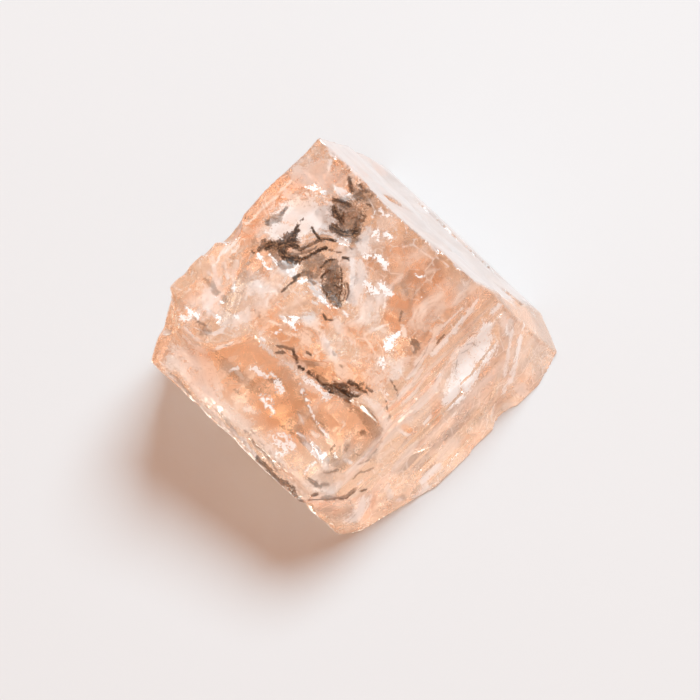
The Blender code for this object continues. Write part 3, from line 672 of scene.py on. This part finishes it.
def relief(points, normals, edges):
    """How far each point moves along its normal."""
    deep = below_top(points)
    top = rise(0.45, 0.75, normals @ TOP_FACING) * rise(*TOP_END, deep)
    upper = top * rise(*UPPER_END, deep)
    lift = 0.10 + 0.04 * layered_noise(points, 3.2, 1) + 0.05 * rise(0.3, 0.7, normals @ LEFT_FACING)
    lift += 0.12 * rise(0.3, 0.7, normals @ BACK_FACING)

    def breaks(facing, seed, count, sizes, depth, **ways):
        return break_side(points, normals, facing, seed, count, sizes, depth, **ways)

    # The top is hackly on the left and towards the step, and smooth to the right.
    hackly = upper * hackly_share(points)
    lift -= breaks(TOP_FACING, seed=3, count=150, sizes=(0.35, 1.9), depth=0.10, within=hackly)
    lift -= breaks(TOP_FACING, seed=4, count=220, sizes=(0.2, 0.7), depth=0.12, within=hackly)
    lift -= breaks(TOP_FACING, seed=7, count=34, sizes=(0.7, 2.6), depth=0.035, within=upper, ripple=0.006)

    # Ripples of the dark fan spread from its far rim.
    fan = zone(points, FAN_MIDDLE, FAN_REACH) * upper
    from_rim = np.linalg.norm(points[:, :2] - np.array(FAN_RIM), axis=1)
    lift += FAN_RIPPLE * fan * np.cos(from_rim * WHOLE_TURN / FAN_SPACING)

    # The right side splits in thin leaves along the shoulder.
    right = rise(0.5, 0.8, normals @ RIGHT_FACING)
    up_slope = points @ side_axes(RIGHT_FACING)[1]
    run = np.stack((up_slope + 0.05 * points[:, 1], points[:, 1] * 0.06, points[:, 0] * 0.0), axis=1)
    upper_right = right * rise(*LEAFY_HEIGHTS, points[:, 2])
    lift += 0.010 * upper_right * layered_noise(run, 0.8, 11)
    lift -= breaks(RIGHT_FACING, seed=12, count=60, sizes=(1.4, 5.0), depth=0.005, within=upper_right,
                   stretch=(0.06, 0.16), turn=0.0)
    lift -= breaks(RIGHT_FACING, seed=13, count=40, sizes=(2.0, 6.0), depth=0.004,
                   within=right * rise(7.0, 5.0, points[:, 2]), stretch=(0.2, 0.45), turn=0.1)

    # The hidden sides and the base are broken all over.
    lift -= breaks(BACK_FACING, seed=21, count=22, sizes=(2.0, 6.0), depth=0.006)
    lift -= breaks(LEFT_FACING, seed=22, count=26, sizes=(1.2, 4.2), depth=0.05, ripple=0.004)
    lift -= breaks(LEFT_FACING, seed=32, count=90, sizes=(0.4, 1.4), depth=0.06)
    lift -= breaks(FRONT_FACING, seed=23, count=60, sizes=(2.0, 7.0), depth=0.012, stretch=(0.05, 0.14),
                   turn=0.0)
    lift -= breaks(FRONT_FACING, seed=33, count=40, sizes=(0.5, 2.4), depth=0.04)
    lift -= breaks(BASE_FACING, seed=24, count=60, sizes=(0.8, 3.6), depth=0.035)

    # A notch parts the left side where the step begins.
    from_notch = np.linalg.norm(points[:, :2] - np.array(NOTCH_MIDDLE), axis=1)
    lift -= NOTCH_DEPTH * rise(*NOTCH_EDGE, from_notch) * rise(0.1, 0.5, normals @ LEFT_FACING)

    # Corners and edges are worn and chipped.
    inward = ((points - smoothed(points, edges, 12)) * normals).sum(axis=1)
    edge = rise(0.02, 0.10, inward)
    lift -= edge * (0.03 + 0.06 * np.abs(layered_noise(points, 0.9, 31)))
    return lift


def build_skin():
    mesh = merged_copy(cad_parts["topaz_crystal"], "topaz_stone")
    mesh = with_modifier(mesh, "REMESH", mode="VOXEL", voxel_size=SKIN_VOXEL)
    points, normals, edges = point_array(mesh), normal_array(mesh), edge_array(mesh)
    put_points(mesh, points + normals * relief(points, normals, edges)[:, None])
    triangles = 2 * len(mesh.polygons)
    if triangles > MOST_TRIANGLES:
        mesh = with_modifier(mesh, "DECIMATE", ratio=MOST_TRIANGLES / triangles)
    return mesh


def camera_axes():
    """Which ways lie to the right in the camera's view, up it and back towards the camera."""
    level = math.cos(CAMERA_RISE)
    across = np.array((math.cos(CAMERA_TURN), math.sin(CAMERA_TURN), 0.0))
    back = np.array((math.sin(CAMERA_TURN) * level, -math.cos(CAMERA_TURN) * level, math.sin(CAMERA_RISE)))
    return across, np.cross(back, across), back


def seen_at(pixel, facing, reach):
    """The point that a pixel shows of the plane on which facing @ point is reach."""
    across, upward, back = camera_axes()
    eye = back * CAMERA_DISTANCE / MM
    from_middle = np.array(pixel) - VIEW_PIXELS / 2
    sight = (across * from_middle[0] - upward * from_middle[1]) * PIXEL - eye
    return eye + sight * (reach - eye @ facing) / (sight @ facing)


def lay_out(marks, facing, reach, axes):
    """The marks in millimetres, on a plane as two of the layout's axes measure it."""
    laid = []
    for kind, half_width, strong, pixels in marks:
        path = [[round(float(seen_at(pixel, facing, reach)[axis]), 1) for axis in axes] for pixel in pixels]
        laid.append((kind, round(half_width * PIXEL, 2), strong, path))
    return laid


def under_top(marks, drop):
    return lay_out(marks, np.array((-TOP_RISE_X, -TOP_RISE_Y, 1.0)), TOP_HEIGHT - drop, (0, 1))


def inside_right(marks, depth):
    reach = RIGHT_FOOT - depth / math.cos(RIGHT_LEAN)
    return lay_out(marks, np.array((1.0, 0.0, RIGHT_SLOPE)), reach, (1, 2))


def lay_marks(points, normals):
    """For each kind of mark, how near each point is to one, how strong that one is, and how its fibres run."""
    wander = np.stack([layered_noise(points, 0.8, seed) for seed in (41, 42, 43)], axis=1)
    worn = points + 0.09 * wander
    deep = below_top(points)
    up = normals @ TOP_FACING
    places = (
        (under_top(TOP_MARKS, TOP_DROP), worn[:, :2], rise(0.1, 0.4, up) * rise(1.45, 1.15, deep)),
        (under_top(LEDGE_MARKS, LEDGE_DROP), worn[:, :2], rise(-0.1, 0.1, up) * rise(1.9, 1.6, deep)),
        (under_top(EDGE_MARKS, EDGE_DROP), worn[:, :2],
         rise(-0.1, 0.2, up) * rise(*FLOOR_START, deep) * rise(3.4, 3.0, deep)),
        (under_top(STEP_MARKS, STEP_DROP), worn[:, :2],
         rise(0.1, 0.4, up) * rise(0.8, 1.1, deep) * rise(*FLOOR_END, deep)),
        (inside_right(RIGHT_MARKS, RIGHT_DEPTH), worn[:, 1:], rise(0.4, 0.7, normals @ RIGHT_FACING)),
    )
    nearness = {kind: np.zeros(len(points)) for kind in MARK_KINDS}
    strength = {kind: np.zeros(len(points)) for kind in MARK_KINDS}
    grain = {kind: np.zeros((len(points), 3)) for kind in MARK_KINDS}
    number = 0
    for marks, flat, weight in places:
        chosen = np.flatnonzero(weight > 0.01)
        for kind, half_width, strong, path in marks:
            number += 1
            near, run = stroke(flat[chosen], path, half_width * MARK_SPREAD)
            near = near * weight[chosen]
            stronger = near * strong > (nearness[kind] * strength[kind])[chosen]
            changed = chosen[stronger]
            apart = np.full(len(run), FIBRE_SHIFT * number)
            nearness[kind][changed] = near[stronger]
            strength[kind][changed] = strong
            grain[kind][changed] = np.column_stack((run, apart))[stronger]
    return nearness, strength, grain


def side_shares(points, normals):
    """How much each point has of the back's pale coat for its sheen, how frosted, leafy and calm it is, and its
    painted glow for the stone's inside.
    """
    deep = below_top(points)
    back = rise(0.5, 0.8, normals @ BACK_FACING)
    base = rise(0.6, 0.9, normals @ BASE_FACING)
    front, left = (rise(0.5, 0.8, normals @ facing) for facing in (FRONT_FACING, LEFT_FACING))
    facing_up = rise(0.1, 0.4, normals @ TOP_FACING)
    window = facing_up * rise(*FLOOR_START, deep) * rise(*FLOOR_END, deep)
    hackly = hackly_share(points) * facing_up * (1 - window)
    # The back's pale coat stands in for its bright sheen.
    sheen_veil = back * rise(0.4, -0.4, points[:, 0] - 6.0 - 0.11 * (12.0 - points[:, 2]))
    right = np.maximum(rise(0.4, 0.7, normals @ RIGHT_FACING), back - sheen_veil)
    clear_base = base * zone(points, (-1.5, -7.0), 10.0)
    under = sum(rise(0.2, 0.7, normals @ facing) for facing in (FRONT_FACING, LEFT_FACING, BASE_FACING))
    return {
        "sheen_veil": sheen_veil,
        "frost": np.maximum.reduce((0.5 * front, 0.3 * left, 0.30 * hackly, 0.75 * right)),
        "leafy": right * (0.35 + 0.65 * rise(*LEAFY_HEIGHTS, points[:, 2])),
        "calm": np.maximum.reduce((clear_base, 0.8 * front, 0.6 * left, back, 0.55 * right, window)),
        # Painted glow from the hidden sides, the base, the back's pale coat and the right side.
        "glow": np.maximum.reduce((np.clip(0.9 * under, 0, 0.9 - 0.75 * left), sheen_veil, 0.78 * right)),
    }


def write_number(mesh, name, values):
    attribute = mesh.attributes.new(name, "FLOAT", "POINT")
    attribute.data.foreach_set("value", values.astype(np.float32))


def mark_skin(mesh):
    """Writes on the skin how milky and amber each point is, where the painted dark reflections and glints lie,
    and which way its streaks run.
    """
    points, normals = point_array(mesh), normal_array(mesh)
    nearness, strength, grain = lay_marks(points, normals)
    for kind in MARK_KINDS:
        write_number(mesh, kind, np.clip(nearness[kind], 0, 1))
        write_number(mesh, kind + "_strength", strength[kind])
    for name, values in side_shares(points, normals).items():
        write_number(mesh, name, np.clip(values, 0, 1))
    for kind in ("smoke", "milk"):
        attribute = mesh.attributes.new(kind + "_grain", "FLOAT_VECTOR", "POINT")
        attribute.data.foreach_set("vector", grain[kind].astype(np.float32).ravel())


def build_stone():
    mesh = build_skin()
    mark_skin(mesh)
    points = (point_array(mesh) + LAYOUT_ORIGIN) * MM
    low, high = (np.array(corner) for corner in cad_box)
    put_points(mesh, np.clip(points, low, high))
    mesh.name = "topaz_stone"
    stone = bpy.data.objects.new("topaz_stone", mesh)
    bpy.context.scene.collection.objects.link(stone)
    for polygon in mesh.polygons:
        polygon.use_smooth = True
    mesh.set_sharp_from_angle(angle=SHARP_EDGE)
    return stone


# ---------------------------------------------------------------- finishes

class Amount:
    """A number that changes over the stone: a node's socket that takes part in sums."""

    def __init__(self, finish, socket):
        self.finish = finish
        self.socket = socket

    def sum(self, operation, first, second=0.0):
        return self.finish.node("Math", {"operation": operation}, {0: first, 1: second})

    def __add__(self, other):
        return self.sum("ADD", self, other)

    def __sub__(self, other):
        return self.sum("SUBTRACT", self, other)

    def __rsub__(self, other):
        return self.sum("SUBTRACT", other, self)

    def __mul__(self, other):
        return self.sum("MULTIPLY", self, other)

    __radd__ = __add__
    __rmul__ = __mul__

    def away(self):
        """Its distance from 0."""
        return self.sum("ABSOLUTE", self)

    def larger(self, other):
        return self.sum("MAXIMUM", self, other)

    def climb(self, low, high):
        """Climbs softly from 0 to 1 between the two values."""
        return self.finish.node("MapRange", {"interpolation_type": "SMOOTHSTEP", "clamp": True},
                                {"Value": self, "From Min": low, "From Max": high})


class Finish:
    """A material, whose nodes all come from one method."""

    def __init__(self, name):
        self.material = bpy.data.materials.new(name)
        self.material.use_nodes = True
        self.nodes = self.material.node_tree.nodes
        self.links = self.material.node_tree.links
        self.nodes.clear()

    def node(self, kind, settings=None, values=None, output=0):
        """Adds a node, with its settings first, then the values or links of its sockets."""
        made = self.nodes.new("ShaderNode" + kind)
        for name, value in (settings or {}).items():
            setattr(made, name, value)
        for name, value in (values or {}).items():
            if isinstance(value, Amount):
                self.links.new(value.socket, made.inputs[name])
            else:
                made.inputs[name].default_value = value
        return None if output is None else Amount(self, made.outputs[output])

    def written(self, *names, ending="", output="Fac"):
        """What is written on the skin under these names."""
        return [self.node("Attribute", {"attribute_name": name + ending}, output=output) for name in names]

    def noise(self, place, scale, detail, **others):
        return self.node("TexNoise", None, {"Vector": place, "Scale": scale, "Detail": detail, **others})

    def streaks(self, grain, along, across, deep=1.0, detail=3.0):
        """Fibres that run along a mark, or along a side."""
        stretched = self.node("VectorMath", {"operation": "MULTIPLY"}, {0: grain, 1: (along, across, deep)})
        return self.noise(stretched, 1.0, detail, Roughness=0.6)

    def tint(self, share, first, second):
        """A colour that goes from the first to the second as the share goes from 0 to 1."""
        return self.node("Mix", {"data_type": "RGBA"}, {"Factor": share, "A": first, "B": second}, "Result")

    def skin(self, colour, roughness, ior, **others):
        return self.node("BsdfPrincipled", None, {
            "Base Color": colour, "Roughness": roughness, "IOR": ior, **others})

    def over(self, share, below, above):
        """A skin that lies over another on this share of the stone."""
        return self.node("MixShader", None, {0: share, 1: below, 2: above})


def lit(colour):
    """The settings of a skin that gives a little light of this colour."""
    return {"Emission Color": colour, "Emission Strength": 1.0}


def stone_finish():
    """Clear topaz with a painted glow; frost, a pale coat for the back's sheen, milk, painted dark reflections
    and painted glints over it, in that order.
    """
    finish = Finish("clear_peach_topaz")
    place = finish.node("TexCoord", output="Object")
    smoke, milk, glint, amber = finish.written(*MARK_KINDS)
    dark_reflection_depth, milk_depth, glint_depth, amber_depth = finish.written(*MARK_KINDS, ending="_strength")
    frost, glow, sheen_veil, leafy, calm = finish.written("frost", "glow", "sheen_veil", "leafy", "calm")
    dark_reflection_grain, milk_grain = finish.written("smoke", "milk", ending="_grain", output="Vector")

    fine = finish.noise(place, 2600.0, 2.0, Roughness=0.65)
    clouds = finish.noise(place, 330.0, 5.0, Distortion=0.6)
    specks = finish.noise(place, 900.0, 4.0, Distortion=1.5)
    splash = finish.noise(place, 4200.0, 3.0, Distortion=1.2)
    hairs = finish.noise(place, 800.0, 2.0, Distortion=2.5)
    dark_reflection_fibre = finish.streaks(dark_reflection_grain, 1.3, 9.0)
    milk_fibre = finish.streaks(milk_grain, 0.8, 5.0)
    leaf = finish.streaks(place, 750.0, 75.0, 750.0, 2.5)
    facets = finish.node("TexVoronoi", {"feature": "F1", "distance": "CHEBYCHEV"},
                         {"Vector": place, "Scale": 1150.0}, output="Color")
    crack = finish.node("TexVoronoi", {"feature": "DISTANCE_TO_EDGE"}, {"Vector": place, "Scale": 640.0},
                        output="Distance")

    # How much of each point the marks cover, with ragged edges; the dark marks are painted reflections.
    amber = amber.climb(0.0, 0.7) * amber_depth
    dark_reflection_edge = smoke + (dark_reflection_fibre - 0.5) * 1.0 + (splash - 0.5) * 1.5
    dark_reflection_share = dark_reflection_edge.climb(0.24, 0.52) * dark_reflection_depth * 0.95
    # Painted highlights: the glints, with splashed edges.
    glint_share = (glint + (splash - 0.5) * 3.0).climb(0.36, 0.56) * glint_depth
    milk_edge = milk + (milk_fibre - 0.5) * 1.2 + (splash - 0.5) * 1.2 + (specks - 0.5) * 0.8
    milk_mark = milk_edge.climb(0.10, 0.76) * milk_depth * 0.88

    # Thin white hairs and cracks, and pale leaves on the right side.
    hair = (1 - (hairs - 0.5).away() * 26.0).larger(0.0) * clouds.climb(0.45, 0.6)
    hair = hair * (0.5 - calm * 0.4) * (1 - amber * 0.7)
    line = (1 - crack * 22.0).larger(0.0) * specks.climb(0.42, 0.56) * (1 - calm) * (0.15 + frost)
    milk_share = milk_mark.larger(leafy * leaf.climb(0.46, 0.76) * 0.6).larger(hair).larger(line)

    # Frost lies in patches and on single facets, and the back's pale coat, a stand-in for its sheen, is uneven.
    frost_edge = frost + (specks - 0.5) * 1.2 + (facets - 0.5) * (1 - calm) * 1.2 - 0.12
    frost_share = frost_edge.climb(0.1, 0.8) * (0.6 - calm * 0.4)
    sheen_veil_share = sheen_veil * (0.70 + (clouds - 0.5) * 0.5)

    # Painted shade: the clear skin is dimmed and cooled where frosted, but not on the leafy right side.
    pale = finish.tint((1 - leafy * 3).larger(0.0) * frost * 2, CLEAR, SHADED)
    clear_tint = finish.tint(amber, pale, AMBER)
    # Painted glow over the clear and frosted skin, fuller in amber zones away from calm ones.
    glow_share = glow * (clouds.climb(0.38, 0.62) * (1 - calm) + calm * 0.5)
    inner = lit(finish.tint(glow_share.larger(amber * (1 - calm) * 0.35), OPEN_LIGHT, FULL_LIGHT))
    milk_tint = finish.tint(amber.larger(clouds.climb(0.45, 0.75) * 0.25), MILK, PEACH_MILK)
    # Painted glow on the milky skin, fuller on the leafy right side.
    milk_light = lit(finish.tint(leafy.climb(0.0, 0.35), MILK_LIGHT, LEAF_LIGHT))
    # The painted dark reflections run from near black to brown along their fibres.
    dark_reflection_tint = finish.tint((dark_reflection_fibre + (splash - 0.5) * 0.9).climb(0.44, 0.76), DARK_REFLECTION, BROWN_REFLECTION)

    grain = {"Normal": finish.node("Bump", None, {"Strength": 0.12, "Distance": 0.00004, "Height": fine})}
    polish = 0.015 + fine * 0.05
    clear = finish.skin(clear_tint, polish, TOPAZ_IOR, **{"Transmission Weight": 1.0}, **inner, **grain)
    frosted = finish.skin(FROST, 0.38, TOPAZ_IOR, **{"Transmission Weight": 0.75}, **inner, **grain)
    sheen_veil_skin = finish.skin(SHEEN_VEIL, 0.35, 1.5, **grain)
    milky = finish.skin(milk_tint, 0.42, 1.45, **milk_light, **grain)
    # The skin of the painted dark reflections, and of the painted glints, which also glow.
    dark_reflection_skin = finish.skin(dark_reflection_tint, 0.5, 1.3, **{"Specular IOR Level": 0.2}, **grain)
    white = finish.skin(GLINT, 0.25, 1.5, **lit(GLINT_LIGHT))

    surface = finish.over(frost_share, clear, frosted)
    surface = finish.over(sheen_veil_share, surface, sheen_veil_skin)
    surface = finish.over(milk_share, surface, milky)
    surface = finish.over(dark_reflection_share, surface, dark_reflection_skin)
    surface = finish.over(glint_share, surface, white)
    body = finish.node("VolumeAbsorption", None, {"Color": INSIDE, "Density": BODY_DENSITY})
    finish.node("OutputMaterial", None, {"Surface": surface, "Volume": body}, output=None)
    finish.material.cycles.emission_sampling = "NONE"
    return finish.material


# ---------------------------------------------------------------- table, light and camera

def lay_table():
    bpy.ops.mesh.primitive_plane_add(size=TABLE_SIZE, location=(0, 0, -TABLE_GAP))
    table = bpy.context.object
    table.name = "table"
    finish = Finish("white_paper")
    paper = finish.skin(PAPER, 0.9, 1.5, **{"Specular IOR Level": 0.2})
    finish.node("OutputMaterial", None, {"Surface": paper}, output=None)
    table.data.materials.append(finish.material)


def light_studio():
    world = bpy.data.worlds.new("studio")
    world.use_nodes = True
    background = world.node_tree.nodes["Background"]
    background.inputs["Color"].default_value = SURROUND
    background.inputs["Strength"].default_value = SURROUND_STRENGTH
    bpy.context.scene.world = world

    lamp = bpy.data.lights.new("window_light", "AREA")
    lamp.shape = "DISK"
    lamp.size = LAMP_SIZE
    lamp.energy = LAMP_POWER
    lamp.color = LAMP_COLOUR
    holder = bpy.data.objects.new("window_light", lamp)
    bpy.context.scene.collection.objects.link(holder)
    holder.location = LAMP_TOWARDS.normalized() * LAMP_DISTANCE
    holder.rotation_euler = LAMP_TOWARDS.to_track_quat("Z", "Y").to_euler()


def set_camera():
    back = Vector(camera_axes()[2])
    camera = bpy.data.cameras.new("camera")
    holder = bpy.data.objects.new("camera", camera)
    bpy.context.scene.collection.objects.link(holder)
    holder.location = Vector(LAYOUT_ORIGIN) * MM + back * CAMERA_DISTANCE
    holder.rotation_euler = back.to_track_quat("Z", "Y").to_euler()
    camera.sensor_width = SENSOR_WIDTH
    camera.lens = SENSOR_WIDTH * CAMERA_DISTANCE / (VIEW_PIXELS * PIXEL * MM)
    camera.clip_start = 0.01
    bpy.context.scene.camera = holder


def let_light_through():
    """Light is followed through the many inner reflections of a clear stone."""
    cycles = bpy.context.scene.cycles
    cycles.max_bounces = 18
    cycles.transmission_bounces = 18
    cycles.glossy_bounces = 12
    cycles.diffuse_bounces = 5
    cycles.use_denoising = True
    bpy.context.scene.view_settings.view_transform = "Standard"


stone = build_stone()
stone.data.materials.append(stone_finish())
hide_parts("topaz_crystal")
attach(stone, "root")
lay_table()
light_studio()
set_camera()
let_light_through()
